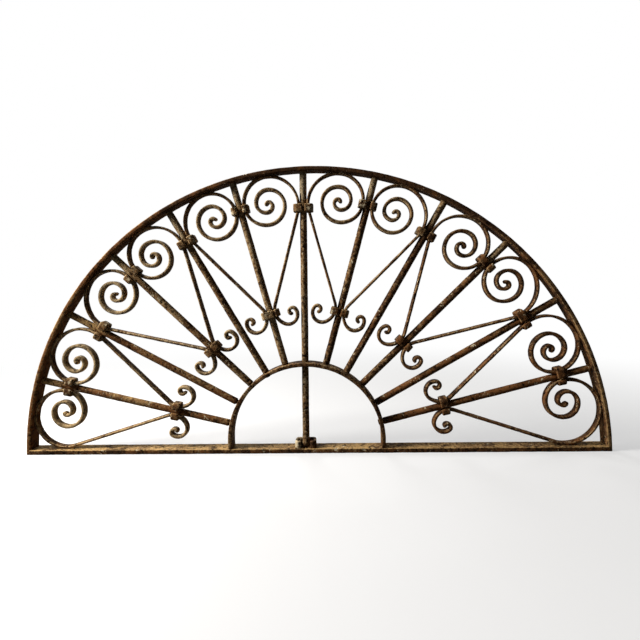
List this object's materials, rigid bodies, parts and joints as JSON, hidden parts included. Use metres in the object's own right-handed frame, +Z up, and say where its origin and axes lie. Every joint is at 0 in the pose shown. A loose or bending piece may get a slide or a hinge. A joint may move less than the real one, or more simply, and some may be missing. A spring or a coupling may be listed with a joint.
{
  "type": "fanlight grille",
  "caption": "Half-round wrought iron fanlight: round bars fan out from a half ring to a flat-bar arch, with collared scrolls between them.",
  "frame": {"origin": "on the underside of the bottom bar, at mid-depth, below the middle of the arch", "axes": "+X along the bottom bar to the right as seen from the front, +Y to the back through the grille, +Z up"},
  "size_m": [1.059, 0.032, 0.509],
  "materials": {
    "frame_iron": "dark brown rusted iron, worn to tan along the edges",
    "ring_iron": "brown rusted iron",
    "bar_iron": "rust-orange and brown iron with worn tan patches",
    "scroll_iron": "brown rusted iron with pale worn edges",
    "collar_iron": "rusted iron with scraps of cream paint"
  },
  "bodies": {
    "root": {"arch_bar": "frame_iron", "bottom_bar": "frame_iron", "empty_collar": "collar_iron", "inner_ring": "ring_iron", "lower_collar_01": "collar_iron", "lower_collar_03": "collar_iron", "lower_collar_05": "collar_iron", "lower_collar_07": "collar_iron", "lower_collar_09": "collar_iron", "lower_collar_11": "collar_iron", "radial_bar_01": "bar_iron", "radial_bar_02": "bar_iron", "radial_bar_03": "bar_iron", "radial_bar_04": "bar_iron", "radial_bar_05": "bar_iron", "radial_bar_06": "bar_iron", "radial_bar_07": "bar_iron", "radial_bar_08": "bar_iron", "radial_bar_09": "bar_iron", "radial_bar_10": "bar_iron", "radial_bar_11": "bar_iron", "scroll_01": "scroll_iron", "scroll_02": "scroll_iron", "scroll_03": "scroll_iron", "scroll_04": "scroll_iron", "scroll_05": "scroll_iron", "scroll_06": "scroll_iron", "scroll_07": "scroll_iron", "scroll_08": "scroll_iron", "scroll_09": "scroll_iron", "scroll_10": "scroll_iron", "scroll_11": "scroll_iron", "scroll_12": "scroll_iron", "upper_collar_01": "collar_iron", "upper_collar_02": "collar_iron", "upper_collar_03": "collar_iron", "upper_collar_04": "collar_iron", "upper_collar_05": "collar_iron", "upper_collar_06": "collar_iron", "upper_collar_07": "collar_iron", "upper_collar_08": "collar_iron", "upper_collar_09": "collar_iron", "upper_collar_10": "collar_iron", "upper_collar_11": "collar_iron"}
  },
  "joints": []
}
